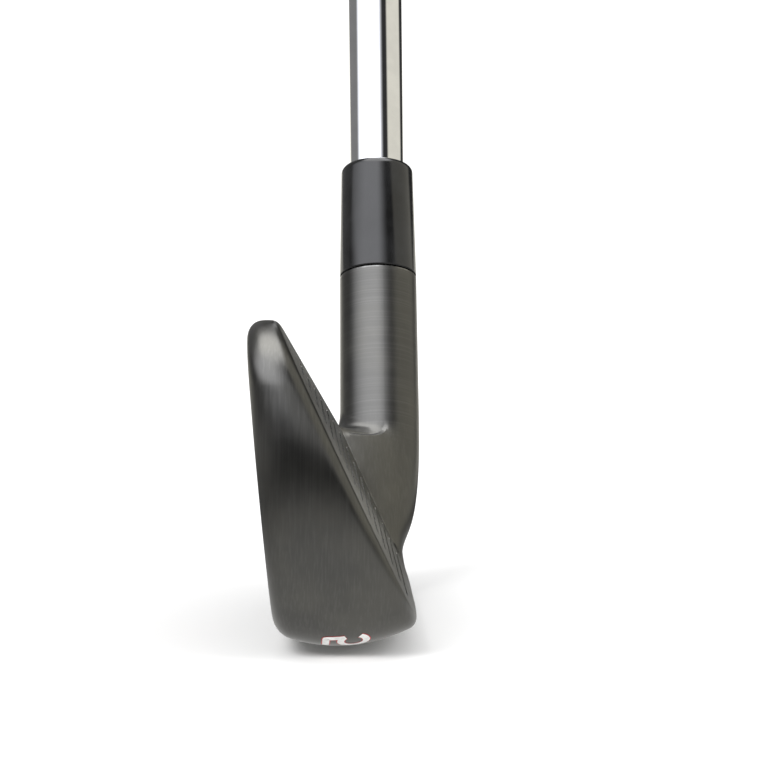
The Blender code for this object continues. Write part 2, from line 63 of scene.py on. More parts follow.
# Front-view outline from the topline's heel end, over the toe, to the sole's heel end.
# Each row: y and z in millimetres, heading in degrees, reach of the curve that follows.
TOPLINE_FALL = 25.0
OUTLINE = (
    (34.5, 29.3, 180.0 - TOPLINE_FALL, 0.33),
    (-15.2, 52.5, 180.0 - TOPLINE_FALL, 0.36),
    (-27.8, 54.85, 180.0, 0.38),
    (-39.2, 46.0, 256.0, 0.34),
    (-41.0, 34.5, 270.0, 0.31),
    (-26.5, 5.1, 352.0, 0.33),
    (0.0, 3.45, 360.0, 0.33),
    (27.0, 3.7, 366.0, 0.33),
)
OUTLINE_STEPS = (14, 16, 34, 12, 44, 18, 18)

# Rounding of the perimeter wall: topline, toe and sole
FACE_EDGE = (0.9 * MM, 2.2 * MM, 1.7 * MM)
BACK_EDGE = (2.5 * MM, 3.3 * MM, 2.9 * MM)
WALL_CROWN = (0.4 * MM, 1.3 * MM, 2.9 * MM)
WALL_DROP = (-0.5 * MM, -0.2 * MM, 1.6 * MM)
EDGE_STEPS = 7
WALL_STEPS = 14
EDGE_WEIGHT = 0.75
EDGE_SHARE = 0.45  # the most of the wall's width that one rounded edge takes

# Blend from the blade's heel end up into the hosel
BLEND_STEPS = 44
BLEND_START = (0.80, 0.63)
BLEND_END = (0.86, 0.77)
SHORTEST_HANDLE = 0.15
TURN_SPREAD = 3.0 * MM
FACE_PUSH = 1.05
FACE_PUSH_FULL = 0.4
TOPLINE_PUSH = 1.4
TOPLINE_PUSH_START = 0.75
FACE_END_BOW = 2.0 * MM
FACE_END_STEPS = 44
BACK_END_STEPS = 22
HOSEL_START = (30.0 * MM, 38.5 * MM)
HOSEL_TOP = 58.6 * MM
HOSEL_BASE_RADIUS = 6.87 * MM
HOSEL_RADIUS = 6.7 * MM
HOSEL_SECTORS = (-84.0, -165.0, -225.0, -300.0, -444.0)

# Score lines, measured up the face from the ground plane
LINE_COUNT = 15
LINE_FIRST = 10.2 * MM
LINE_PITCH = 2.9 * MM
LINE_TOE_Y = -23.0 * MM
LINE_HEEL_Y = 21.0 * MM
LINE_TOPLINE_MARGIN = 5.4 * MM
# Depth below the face and half width there, from above the surface to the groove's floor
LINE_SECTION = ((-0.2, 0.52), (-0.03, 0.47), (0.06, 0.38), (0.36, 0.26), (0.45, 0.16))
LINE_END_STEPS = 6

# Cavity behind the face
FACE_THICKNESS = 2.6 * MM
POCKET_CORNERS = (
    (-31.5, 19.0), (-33.5, 33.0), (-29.5, 47.8), (-16.5, 48.3), (22.5, 30.2), (22.5, 19.0)
)
POCKET_ROUND = 3.5 * MM
POCKET_RIM = 0.9 * MM
RIM_STEPS = 4
CORNER_STEPS = 8
BORE_STEPS = 48
OVERRUN = 1.0 * MM  # how far a bore's cutter passes the surface that it opens
BEHIND_BACK = 20.0 * MM
CHANNEL_Y = (-27.5 * MM, 24.5 * MM)
CHANNEL_Z = (5.6 * MM, 22.0 * MM)
CHANNEL_ROUND = 2.5 * MM
CHANNEL_RELIEF = 0.2 * MM
MUSCLE_THICKNESS = 2.8 * MM
WEIGHT_RADIUS = 4.0 * MM
WEIGHT_LENGTH = 7.0 * MM
WEIGHT_CENTRE = (-2.4 * MM, 16.2 * MM)

# Badge plate: its edge, then the slope down from its frame to the sunk panel
BADGE_INSET = 1.5 * MM
BADGE_PAD_THICKNESS = 0.8 * MM
BADGE_THICKNESS = 1.0 * MM
BADGE_EDGE = 0.25 * MM
BADGE_FRAME = (1.6 * MM, 1.9 * MM)
BADGE_PANEL_DEPTH = 0.35 * MM
BADGE_BAR_Y = (-4.0 * MM, 12.0 * MM)
BADGE_BAR_Z = (31.0 * MM, 36.2 * MM)
BADGE_BAR_SLANT = 0.55

# Ferrule, shaft, band, grip and cap
FERRULE_LENGTH = 20.9 * MM
FERRULE_TOP_RADIUS = 6.3 * MM
FERRULE_SHOULDER = 1.2 * MM
FERRULE_BASE_ROUND = 0.25 * MM
BORE_DEPTH = 31.0 * MM
TIP_RADIUS = 4.7 * MM
BUTT_RADIUS = 7.62 * MM
SHAFT_WALL = 0.7 * MM
STEP_COUNT = 14
FIRST_STEP = 262.0 * MM
STEP_PITCH = 29.0 * MM
STEP_RAMP = 1.2 * MM
RAMP_STEPS = 6
PLUG_FLANGE = 1.0 * MM
BAND_START = 648.0 * MM
BAND_LENGTH = 38.0 * MM
SKIN = 0.35 * MM  # thickness of the band's film and of the grip tape
FILM_EDGE = 0.15 * MM
FILM_LIPS = (0.25, 0.75)
FILM_LIP_DEPTH = 0.1 * MM
GRIP_LENGTH = 267.0 * MM
GRIP_BELL = 55.0 * MM
GRIP_LIP = 0.9 * MM
GRIP_MOUTH_RADIUS = 10.3 * MM
GRIP_WAIST_RADIUS = 11.4 * MM
GRIP_END_RADIUS = 13.3 * MM
CAP_THICKNESS = 4.0 * MM
CAP_EDGE = 1.3 * MM
VENT_RADIUS = 1.6 * MM
VENT_LIP = 0.5 * MM
CAP_RINGS = (10.2 * MM, 4.4 * MM)
CAP_RING_HALF_WIDTHS = (0.5 * MM, 0.3 * MM)
CAP_RING_DEPTH = 0.35 * MM
TURNED_SIDES = 112

# The grip's moulded pattern: two crossing sets of grooves, cut off by plain rings
GRIP_SIDES = 160
GRIP_ROWS = 420
GRIP_PATTERN_STARTS = 20
GRIP_PATTERN_PITCH = 5.2 * MM
GRIP_PATTERN_DEPTH = 0.38 * MM
GRIP_GROOVE_WIDTH = 0.16
GRIP_RING_PITCH = 62.0 * MM
GRIP_RING_WIDTH = 5.0 * MM
GRIP_RING_FADE = 0.8 * MM
GRIP_RING_LINE = 0.45 * MM
GRIP_PLAIN_ENDS = (9.0 * MM, 10.0 * MM)
GRIP_END_FADE = 1.5 * MM

SHARP_ANGLE = 30.0
HEAD_SHARP_ANGLE = 28.0


# ---- places on the club


def axis_direction():
    return Vector((0.0, math.cos(LIE), math.sin(LIE)))


def axis_point(distance):
    """A point on the shaft's axis, at a distance from the ground along it."""
    return Vector((AXIS_X, AXIS_GROUND_Y, 0.0)) + axis_direction() * distance


def axis_frame(distance):
    """A matrix whose Z runs up the shaft and whose origin is a distance along it."""
    turn = Matrix.Rotation(LIE - math.pi / 2, 4, "X")
    return Matrix.Translation(axis_point(distance)) @ turn


def face_x(z):
    return FACE_GROUND_X - z * math.tan(LOFT)


def back_x(y, z):
    return BACK_GROUND_X - z * math.tan(BACK_TILT) + y * math.tan(BACK_TAPER)


def pocket_front(z):
    """The face's rear surface, seen as the pocket's floor."""
    return face_x(z) - FACE_THICKNESS / math.cos(LOFT)


def smooth_step(value):
    value = min(max(value, 0.0), 1.0)
    return value * value * (3 - 2 * value)


def bezier(a, b, c, d, t):
    s = 1.0 - t
    return a * s**3 + b * (3 * t * s * s) + c * (3 * t * t * s) + d * t**3


# ---- the head's outer form


def heading(degrees):
    angle = math.radians(degrees)
    return Vector((math.cos(angle), math.sin(angle)))


def front_outline():
    """The blade's outline seen from the target: (y, z) points from heel top to heel bottom."""
    points = []
    for index, steps in enumerate(OUTLINE_STEPS):
        y0, z0, angle0, reach = OUTLINE[index]
        y1, z1, angle1, _ = OUTLINE[index + 1]
        start = Vector((y0, z0)) * MM
        end = Vector((y1, z1)) * MM
        length = (end - start).length * reach
        leave = start + heading(angle0) * length
        arrive = end - heading(angle1) * length
        last = index == len(OUTLINE_STEPS) - 1
        for step in range(steps + last):
            points.append(bezier(start, leave, arrive, end, step / steps))
    return points


def outward_normals(points):
    normals = []
    for index in range(len(points)):
        before = points[max(index - 1, 0)]
        after = points[min(index + 1, len(points) - 1)]
        along = (after - before).normalized()
        normals.append(Vector((along.y, -along.x)))
    return normals


def mixed(values, top, toe, sole):
    return values[0] * top + values[1] * toe + values[2] * sole


def rounded_corner(start, corner, end):
    """A weighted curve that rounds a corner, from one tangent point to the other."""
    curve = []
    for step in range(EDGE_STEPS + 1):
        t = step / EDGE_STEPS
        a = (1 - t) ** 2
        b = 2 * EDGE_WEIGHT * t * (1 - t)
        c = t * t
        curve.append((start * a + corner * b + end * c) / (a + b + c))
    return curve


def wall_profile(point, normal):
    """The wall from face to back at one outline point, as (x, outset) pairs."""
    top = max(normal.y, 0.0) ** 2
    sole = max(-normal.y, 0.0) ** 2
    toe = 1.0 - top - sole
    x_face = face_x(point.y)
    x_back = back_x(point.x, point.y)
    width = x_face - x_back
    crown = mixed(WALL_CROWN, top, toe, sole)
    drop = mixed(WALL_DROP, top, toe, sole)
    beyond = point + normal
    face_slope = face_x(beyond.y) - x_face
    back_slope = back_x(beyond.x, beyond.y) - x_back

    def wall_point(depth):
        part = depth / width
        return Vector((x_face - depth, 4 * crown * part * (1 - part) + drop * part))

    def corner(depth, x_plane, slope):
        at = wall_point(depth)
        rise = (4 * crown * (1 - 2 * depth / width) + drop) / width
        step = (at.x - x_plane - slope * at.y) / (1 + slope * rise)
        tip = Vector((at.x - step, at.y + rise * step))
        along = Vector((slope, 1.0)).normalized()
        return at, tip, tip - along * (at - tip).length

    front = min(mixed(FACE_EDGE, top, toe, sole), EDGE_SHARE * width)
    rear = min(mixed(BACK_EDGE, top, toe, sole), EDGE_SHARE * width)
    wall_start, face_tip, face_end = corner(front, x_face, face_slope)
    wall_end, back_tip, back_end = corner(width - rear, x_back, back_slope)
    profile = rounded_corner(face_end, face_tip, wall_start)
    for step in range(1, WALL_STEPS):
        profile.append(wall_point(front + (width - rear - front) * step / WALL_STEPS))
    profile += rounded_corner(wall_end, back_tip, back_end)
    return profile


def blade_wall():
    """The perimeter wall as rows of points, one row for each outline point."""
    outline = front_outline()
    rows = []
    for point, normal in zip(outline, outward_normals(outline)):
        row = []
        for x, outset in wall_profile(point, normal):
            z = max(point.y + normal.y * outset, 0.0)
            row.append(Vector((x, point.x + normal.x * outset, z)))
        rows.append(row)
    return rows


def face_push(t):
    """How far forward the blend leaves the face, from its low end (0) to its top end (1)."""
    rise = FACE_PUSH * smooth_step(t / FACE_PUSH_FULL)
    late = (t - TOPLINE_PUSH_START) / (1 - TOPLINE_PUSH_START)
    return rise + (TOPLINE_PUSH - rise) * smooth_step(late)


def end_line(start, end, start_along, end_along, steps, bow, push, x_at):
    """Points and directions along the edge where a flat side of the blade ends at the heel."""
    points = []
    directions = []
    for step in range(1, steps + 1):
        t = step / (steps + 1)
        swell = math.sin(math.pi * t)
        point = start.lerp(end, t)
        point.y -= bow * swell
        point.x = x_at(point.y, point.z)
        along = start_along.lerp(end_along, t)
        along.x += push(t)
        points.append(point)
        directions.append(along.normalized())
    return points, directions


def by_side(pair, angle):
    """A value between the two of a pair: the first on the hosel's toe side, the second opposite."""
    return pair[0] + (pair[1] - pair[0]) * (1 + math.sin(angle)) / 2


def handle_lengths(start, along, end, axis, angle):
    """Lengths of the two handles of a blend curve, from where its end tangents pass closest."""
    span = end - start
    distance = span.length
    across = along.dot(axis)
    spread = max(1 - across * across, 1e-6)
    first = (span.dot(along) - span.dot(axis) * across) / spread
    second = (span.dot(axis) - span.dot(along) * across) / spread
    first = min(max(first, SHORTEST_HANDLE * distance), distance)
    second = min(max(second, SHORTEST_HANDLE * distance), distance)
    first *= by_side(BLEND_START, angle)
    second *= by_side(BLEND_END, angle)
    return first, second


def inner_fractions(count):
    return [(index + 1) / (count + 1) for index in range(count)]


def angles_between(start, end, fractions):
    return [math.radians(start + (end - start) * part) for part in fractions]


def fractions_along(points):
    """How far along a row of points each one is, from 0 to 1, with more room where it turns."""
    steps = [after - before for before, after in zip(points, points[1:])]
    turns = [a.angle(b) * TURN_SPREAD / 2 for a, b in zip(steps, steps[1:])]
    spans = [step.length for step in steps]
    for index, turn in enumerate(turns):
        spans[index] += turn
        spans[index + 1] += turn
    return [sum(spans[:count]) / sum(spans) for count in range(len(points))]


def heel_rings(rows):
    """Rings of points from the blade's heel end, through the blend, to the hosel's top."""
    top_row, low_row = rows[0], rows[-1]
    top_along = [(a - b).normalized() for a, b in zip(rows[0], rows[1])]
    low_along = [(a - b).normalized() for a, b in zip(rows[-1], rows[-2])]
    for along, part in zip(top_along, fractions_along(top_row)):
        along.x += TOPLINE_PUSH * (1 - part) ** 2
        along.normalize()
    back_points, back_along = end_line(
        top_row[-1], low_row[-1], top_along[-1], low_along[-1], BACK_END_STEPS,
        0.0, lambda t: 0.0, back_x
    )
    face_points, face_along = end_line(
        low_row[0], top_row[0], low_along[0], top_along[0], FACE_END_STEPS,
        FACE_END_BOW, face_push, lambda y, z: face_x(z)
    )
    ring = top_row + back_points + low_row[::-1] + face_points
    along = top_along + back_along + low_along[::-1] + face_along
    topline, back, sole, face, around = HOSEL_SECTORS
    angles = angles_between(topline, back, fractions_along(top_row))
    angles += angles_between(back, sole, inner_fractions(BACK_END_STEPS))
    angles += angles_between(sole, face, fractions_along(low_row[::-1]))
    angles += angles_between(face, around, inner_fractions(FACE_END_STEPS))
    axis = axis_direction()
    heelward = Vector((0.0, math.sin(LIE), -math.cos(LIE)))

    def hosel_point(distances, radius, angle):
        centre = axis_point(by_side(distances, angle))
        forward = Vector((math.cos(angle), 0.0, 0.0))
        return centre + (forward + heelward * math.sin(angle)) * radius

    hosel = [hosel_point(HOSEL_START, HOSEL_BASE_RADIUS, angle) for angle in angles]
    rings = [ring]
    for step in range(1, BLEND_STEPS + 1):
        t = step / BLEND_STEPS
        points = []
        for start, direction, end, angle in zip(ring, along, hosel, angles):
            leave, arrive = handle_lengths(start, direction, end, axis, angle)
            points.append(bezier(start, start + direction * leave, end - axis * arrive, end, t))
        rings.append(points)
    top = (HOSEL_TOP, HOSEL_TOP)
    rings.append([hosel_point(top, HOSEL_RADIUS, angle) for angle in angles])
    return rings


def skin(bm, rows, closed):
    """Quads between neighbouring rows of vertices; closed joins each row's end to its start."""
    for row, following in zip(rows, rows[1:]):
        if closed:
            row, following = row + row[:1], following + following[:1]
        for a, b, c, d in zip(row, row[1:], following[1:], following):
            bm.faces.new((a, b, c, d))


def head_blank():
    """The forging before any cut: perimeter wall, flat face and back, heel blend and hosel."""
    bm = bmesh.new()
    rows = blade_wall()
    rings = heel_rings(rows)
    wall = [[bm.verts.new(point) for point in row] for row in rows]
    skin(bm, wall, closed=False)
    top_row, low_row = wall[0], wall[-1]
    width = len(top_row)
    back_edge = [bm.verts.new(point) for point in rings[0][width:width + BACK_END_STEPS]]
    face_edge = [bm.verts.new(point) for point in rings[0][-FACE_END_STEPS:]]
    bm.faces.new([row[0] for row in wall] + face_edge)
    bm.faces.new([row[-1] for row in reversed(wall)] + back_edge)
    blend = [top_row + back_edge + low_row[::-1] + face_edge]
    blend += [[bm.verts.new(point) for point in points] for points in rings[1:]]
    skin(bm, blend, closed=True)
    bm.faces.new(blend[-1])
    bmesh.ops.recalc_face_normals(bm, faces=bm.faces)
    return bm


# ---- mesh helpers


def add_object(name, bm):
    """A smooth-shaded object from a bmesh, with its sharper edges kept crisp."""
    mesh = bpy.data.meshes.new(name)
    bm.normal_update()
    bm.to_mesh(mesh)
    bm.free()
    mesh.shade_smooth()
    mesh.set_sharp_from_angle(angle=math.radians(SHARP_ANGLE))
    item = bpy.data.objects.new(name, mesh)
    bpy.context.scene.collection.objects.link(item)
    return item


def stack_of_loops(loops):
    """A closed solid skinned over loops of equal length, first and last closed by a flat face."""
    bm = bmesh.new()
    rings = [[bm.verts.new(point) for point in loop] for loop in loops]
    skin(bm, rings, closed=True)
    bm.faces.new(rings[0][::-1])
    bm.faces.new(rings[-1])
    bmesh.ops.recalc_face_normals(bm, faces=bm.faces)
    return bm


def rounded_outline(corners, radius):
    """A closed outline with each corner cut back by radius and rounded."""
    points = []
    count = len(corners)
    for index, corner in enumerate(corners):
        before = (corners[index - 1] - corner).normalized() * radius
        after = (corners[(index + 1) % count] - corner).normalized() * radius
        for step in range(CORNER_STEPS + 1):
            t = step / CORNER_STEPS
            points.append(corner + before * (1 - t) ** 2 + after * t * t)
    return points


def inset_corners(corners, inset):
    """A convex outline's corners, moved in by the same distance from every side."""
    count = len(corners)
    moved = []
    for index, corner in enumerate(corners):
        before = (corner - corners[index - 1]).normalized()
        after = (corners[(index + 1) % count] - corner).normalized()
        side = Vector((before.y, -before.x)) + Vector((after.y, -after.x))
        moved.append(corner + side * inset / (1 + before.dot(after)))
    return moved


def pocket_corners():
    return [Vector((y, z)) * MM for y, z in POCKET_CORNERS]


def loop_at(outline, x_at):
    return [Vector((x_at(y, z), y, z)) for y, z in outline]


# ---- cuts in the head


def topline_z(y):
    """Height of the straight topline at y."""
    _, line_start, *_ = OUTLINE
    return line_start[1] * MM - (y - line_start[0] * MM) * math.tan(math.radians(TOPLINE_FALL))


def score_line_end(height_up_face):
    """Heel end of a score line: the common end, or earlier where the topline comes down."""
    room = topline_z(0.0) - (height_up_face + LINE_TOPLINE_MARGIN) * math.cos(LOFT)
    return min(LINE_HEEL_Y, room / math.tan(math.radians(TOPLINE_FALL)))


def score_line_cutter(up):
    """A groove cutter with sloping sides and round ends, lying along the face at one height."""
    outward = Vector((math.cos(LOFT), 0.0, math.sin(LOFT)))
    up_face = Vector((-math.sin(LOFT), 0.0, math.cos(LOFT)))
    origin = Vector((FACE_GROUND_X, 0.0, 0.0)) + up_face * up
    ends = (LINE_TOE_Y, score_line_end(up))
    loops = []
    for depth, half_width in LINE_SECTION:
        loop = []
        for end, turn in zip(ends, (math.pi / 2, -math.pi / 2)):
            for step in range(LINE_END_STEPS + 1):
                angle = turn + math.pi * step / LINE_END_STEPS
                along = end + math.cos(angle) * half_width * MM
                across = math.sin(angle) * half_width * MM
                point = origin - outward * (depth * MM) + up_face * across
                point.y = along
                loop.append(point)
        loops.append(loop)
    return stack_of_loops(loops)


def pocket_cutter():
    """The pocket, with a rounded rim where it comes out through the back."""
    corners = pocket_corners()
    loops = [loop_at(rounded_outline(corners, POCKET_ROUND), lambda y, z: pocket_front(z))]
    for step in range(RIM_STEPS + 1):
        angle = math.pi / 2 * step / RIM_STEPS
        spread = POCKET_RIM * (1 - math.cos(angle))
        inside = POCKET_RIM * (1 - math.sin(angle))
        outline = rounded_outline(inset_corners(corners, -spread), POCKET_ROUND + spread)
        loops.append(loop_at(outline, lambda y, z: back_x(y, z) + inside))
    outer = rounded_outline(inset_corners(corners, -POCKET_RIM), POCKET_ROUND + POCKET_RIM)
    loops.append(loop_at(outer, lambda y, z: back_x(y, z) - BEHIND_BACK))
    return stack_of_loops(loops)


def channel_cutter():
    """The undercut below the pocket, between the face and the back wall."""
    corners = [Vector((y, z)) for y, z in (
        (CHANNEL_Y[0], CHANNEL_Z[0]), (CHANNEL_Y[0], CHANNEL_Z[1]),
        (CHANNEL_Y[1], CHANNEL_Z[1]), (CHANNEL_Y[1], CHANNEL_Z[0]),
    )]
    outline = rounded_outline(corners, CHANNEL_ROUND)
    return stack_of_loops([
        loop_at(outline, lambda y, z: pocket_front(z) + CHANNEL_RELIEF),
        loop_at(outline, lambda y, z: back_x(y, z) + MUSCLE_THICKNESS),
    ])


def round_bar(radius, start, end, matrix):
    """The cutter of a bore, between two heights along the matrix's Z."""
    angles = [2 * math.pi * i / BORE_STEPS for i in range(BORE_STEPS)]
    return stack_of_loops([
        [matrix @ Vector((radius * math.cos(a), radius * math.sin(a), height)) for a in angles]
        for height in (start, end)
    ])


def build_head():
    """The head: the forging less its score lines, pocket, channel and bores."""
    head = add_object("iron_head", head_blank())
    x, z = WEIGHT_CENTRE
    toeward = Matrix.Translation((x, 0.0, z)) @ Matrix.Rotation(math.pi / 2, 4, "X")
    weight_end = -CHANNEL_Y[0] + WEIGHT_LENGTH + 2 * GAP
    cutters = [
        pocket_cutter(),
        channel_cutter(),
        round_bar(WEIGHT_RADIUS + GAP, -CHANNEL_Y[0] - OVERRUN, weight_end, toeward),
        round_bar(TIP_RADIUS + GAP, HOSEL_TOP - BORE_DEPTH, HOSEL_TOP + OVERRUN, axis_frame(0.0)),
    ]
    cutters += [score_line_cutter(LINE_FIRST + i * LINE_PITCH) for i in range(LINE_COUNT)]
    for index, bm in enumerate(cutters):
        cutter = add_object(f"cutter_{index}", bm)
        boolean = head.modifiers.new(cutter.name, "BOOLEAN")
        boolean.operation = "DIFFERENCE"
        boolean.object = cutter
        bpy.context.view_layer.update()
        depsgraph = bpy.context.evaluated_depsgraph_get()
        result = bpy.data.meshes.new_from_object(head.evaluated_get(depsgraph))
        head.modifiers.clear()
        head.data = result
        bpy.data.objects.remove(cutter, do_unlink=True)
    head.data.shade_smooth()
    head.data.set_sharp_from_angle(angle=math.radians(HEAD_SHARP_ANGLE))
    even = head.modifiers.new("Even shading", "WEIGHTED_NORMAL")
    even.keep_sharp = True
    even.weight = 100
    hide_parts("head")
    return head


# ---- turned pieces


def lathe(name, profile, distance, swell=None, steps=TURNED_SIDES):
    """A piece turned about the shaft's axis from a closed (radius, height) profile.

    swell(radius, height, angle) may move a point's radius, for moulded patterns.
    """
    bm = bmesh.new()
    place = axis_frame(distance)
    columns = []
    for i in range(steps):
        angle = 2 * math.pi * i / steps
        column = []
        for radius, height in profile:
            reach = swell(radius, height, angle) if swell else radius
            point = Vector((reach * math.cos(angle), reach * math.sin(angle), height))
            column.append(bm.verts.new(place @ point))
        columns.append(column)
    skin(bm, columns + columns[:1], closed=True)
    bmesh.ops.recalc_face_normals(bm, faces=bm.faces)
    return add_object(name, bm)


def arc(centre, radius, start, end, steps=6):
    """Points of an arc in (radius, height), from start to end degrees."""
    points = []
    for step in range(steps + 1):
        angle = math.radians(start + (end - start) * step / steps)
        points.append((centre[0] + radius * math.cos(angle), centre[1] + radius * math.sin(angle)))
    return points


def build_ferrule():
    """The trim ring: rounded foot, slow taper and round shoulder."""
    length = FERRULE_LENGTH - GAP
    foot = FERRULE_BASE_ROUND
    bore = TIP_RADIUS + GAP
    shoulder = FERRULE_SHOULDER
    profile = [(bore, 0.0)]
    profile += arc((HOSEL_RADIUS - foot, foot), foot, -90, 0, 4)
    profile += arc((FERRULE_TOP_RADIUS - shoulder, length - shoulder), shoulder, 0, 90, 8)
    profile += [(bore, length)]
    ferrule = lathe("ferrule_gloss", profile, HOSEL_TOP + GAP)
    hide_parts("ferrule")
    return ferrule


def shaft_start():
    return HOSEL_TOP - BORE_DEPTH + 2 * GAP + PLUG_FLANGE


def shaft_end():
    return CLUB_LENGTH - CAP_THICKNESS - GAP


def build_shaft():
    """The stepped tube, each step a short smooth ramp."""
    start = shaft_start()
    top = shaft_end() - start
    growth = (BUTT_RADIUS - TIP_RADIUS) / STEP_COUNT
    bore = TIP_RADIUS - SHAFT_WALL
    profile = [(bore, 0.0), (TIP_RADIUS, 0.0)]
    for index in range(STEP_COUNT):
        height = FIRST_STEP + index * STEP_PITCH - start
        for step in range(RAMP_STEPS + 1):
            t = step / RAMP_STEPS
            radius = TIP_RADIUS + (index + smooth_step(t)) * growth
            profile.append((radius, height + t * STEP_RAMP))
    profile += [(BUTT_RADIUS, top), (bore, top)]
    shaft = lathe("shaft_chrome", profile, start)
    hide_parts("shaft")
    return shaft


def build_band():
    """The plain film band, with rounded edges and two fine grooves."""
    inner = BUTT_RADIUS + GAP
    outer = inner + SKIN
    edge = FILM_EDGE
    profile = [(inner, 0.0)]
    profile += arc((outer - edge, edge), edge, -90, 0, 3)
    for part in FILM_LIPS:
        lip = BAND_LENGTH * part
        profile += [(outer, lip - edge), (outer - FILM_LIP_DEPTH, lip), (outer, lip + edge)]
    profile += arc((outer - edge, BAND_LENGTH - edge), edge, 0, 90, 3)
    profile += [(inner, BAND_LENGTH)]
    band = lathe("shaft_band_film", profile, BAND_START)
    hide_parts("shaft_band")
    return band


def grip_radius(height, length):
    """Outer radius of the grip: a slow taper, then a bell towards the cap."""
    radius = GRIP_MOUTH_RADIUS + (GRIP_WAIST_RADIUS - GRIP_MOUTH_RADIUS) * height / length
    bell = max(0.0, (height - length + GRIP_BELL) / GRIP_BELL)
    return radius + (GRIP_END_RADIUS - GRIP_WAIST_RADIUS) * bell * bell


def groove(position, width):
    """Depth from 0 to 1 of a soft groove that repeats at every whole position."""
    offset = position - round(position)
    return math.exp(-(offset / width) ** 2)


def build_grip():
    """The sleeve, with its pattern of crossed grooves between plain rings."""
    start = CLUB_LENGTH - GRIP_LENGTH
    length = shaft_end() - start
    inner = BUTT_RADIUS + 2 * GAP + SKIN
    low, high = GRIP_PLAIN_ENDS[0], length - GRIP_PLAIN_ENDS[1]
    outer = arc((GRIP_MOUTH_RADIUS - GRIP_LIP, GRIP_LIP), GRIP_LIP, -90, 0, 4)
    for row in range(1, GRIP_ROWS + 1):
        height = GRIP_LIP + (length - GRIP_LIP) * row / GRIP_ROWS
        outer.append((grip_radius(height, length), height))
    profile = [(inner, 0.0)] + outer + [(inner, length)]

    def swell(radius, height, angle):
        if radius <= inner + 1e-6 or height < low or height > high:
            return radius
        turn = angle / (2 * math.pi) * GRIP_PATTERN_STARTS
        climb = height / GRIP_PATTERN_PITCH
        cut = max(groove(turn + climb, GRIP_GROOVE_WIDTH), groove(turn - climb, GRIP_GROOVE_WIDTH))
        ends = smooth_step((height - low) / GRIP_END_FADE)
        ends *= smooth_step((high - height) / GRIP_END_FADE)
        ring = height / GRIP_RING_PITCH
        past_ring = abs(ring - round(ring)) * GRIP_RING_PITCH - GRIP_RING_WIDTH / 2
        plain = smooth_step(past_ring / GRIP_RING_FADE)
        ring_line = math.exp(-(past_ring / GRIP_RING_LINE) ** 2)
        return radius - GRIP_PATTERN_DEPTH * max(cut * plain, ring_line) * ends

    grip = lathe("grip_rubber_sleeve", profile, start, swell, GRIP_SIDES)
    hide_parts("grip")
    return grip


def build_cap():
    """The grip's end cap: round edge, two shallow ring grooves and the vent hole."""
    top = CAP_THICKNESS
    floor = top - CAP_RING_DEPTH
    wide, narrow = CAP_RING_HALF_WIDTHS
    profile = [(VENT_RADIUS, 0.0), (GRIP_END_RADIUS, 0.0)]
    profile += arc((GRIP_END_RADIUS - CAP_EDGE, top - CAP_EDGE), CAP_EDGE, 0, 90, 8)
    for ring in CAP_RINGS:
        profile += [(ring + wide, top), (ring + narrow, floor)]
        profile += [(ring - narrow, floor), (ring - wide, top)]
    profile += arc((VENT_RADIUS + VENT_LIP, top - VENT_LIP), VENT_LIP, 90, 180, 4)
    cap = lathe("grip_end_cap", profile, CLUB_LENGTH - CAP_THICKNESS)
    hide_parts("grip_cap")
    return cap


# ---- badge and sole number


def build_badge():
    """The badge plate: bevelled edge, a raised frame and a sunk middle panel."""
    near = GAP + BADGE_PAD_THICKNESS + GAP
    corners = inset_corners(pocket_corners(), BADGE_INSET)

    def section(inset, depth):
        outline = rounded_outline(inset_corners(corners, inset), POCKET_ROUND)
        return loop_at(outline, lambda y, z: pocket_front(z) - depth)

    top = near + BADGE_THICKNESS
    loops = [section(0.0, near), section(0.0, top - BADGE_EDGE), section(BADGE_EDGE, top)]
    loops += [section(BADGE_FRAME[0], top), section(BADGE_FRAME[1], top - BADGE_PANEL_DEPTH)]
    badge = add_object("badge_plate", stack_of_loops(loops))
    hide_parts("cavity_badge")
    return badge


# Strokes of the figure five on a grid 4 wide and 6 tall: corners of a line, then the bowl
FIVE_LINE = ((3.6, 5.6), (0.9, 5.6), (0.6, 3.2))
FIVE_BOWL_CENTRE = (1.75, 2.05)
FIVE_BOWL_RADIUS = 1.65
FIVE_BOWL_ANGLES = (134.0, -150.0)
FIVE_BOWL_STEPS = 28
FIVE_MIDDLE = (2.0, 3.0)
FIVE_SPACING = 0.12
NUMBER_CENTRE = (-0.2 * MM, -31.1 * MM)
NUMBER_SIZE = 1.28 * MM
NUMBER_TURN = math.radians(90.0)
STROKE = 1.15 * MM
STROKE_STEPS = 6
PAINT_EDGE = 0.16 * MM
PAINT_LIFT = 0.03 * MM
PAINT_FROM = (0.0, -0.45, -1.0)
PAINT_REACH = 20.0 * MM


def five_path():
    """The figure's centre line, as evenly spaced points on its grid."""
    points = [Vector(point) for point in FIVE_LINE]
    start, end = FIVE_BOWL_ANGLES
    for step in range(FIVE_BOWL_STEPS + 1):
        angle = math.radians(start + (end - start) * step / FIVE_BOWL_STEPS)
        centre = Vector(FIVE_BOWL_CENTRE)
        points.append(centre + Vector((math.cos(angle), math.sin(angle))) * FIVE_BOWL_RADIUS)
    spaced = [points[0]]
    for a, b in zip(points, points[1:]):
        parts = max(1, round((b - a).length / FIVE_SPACING))
        spaced += [a.lerp(b, (i + 1) / parts) for i in range(parts)]
    return spaced


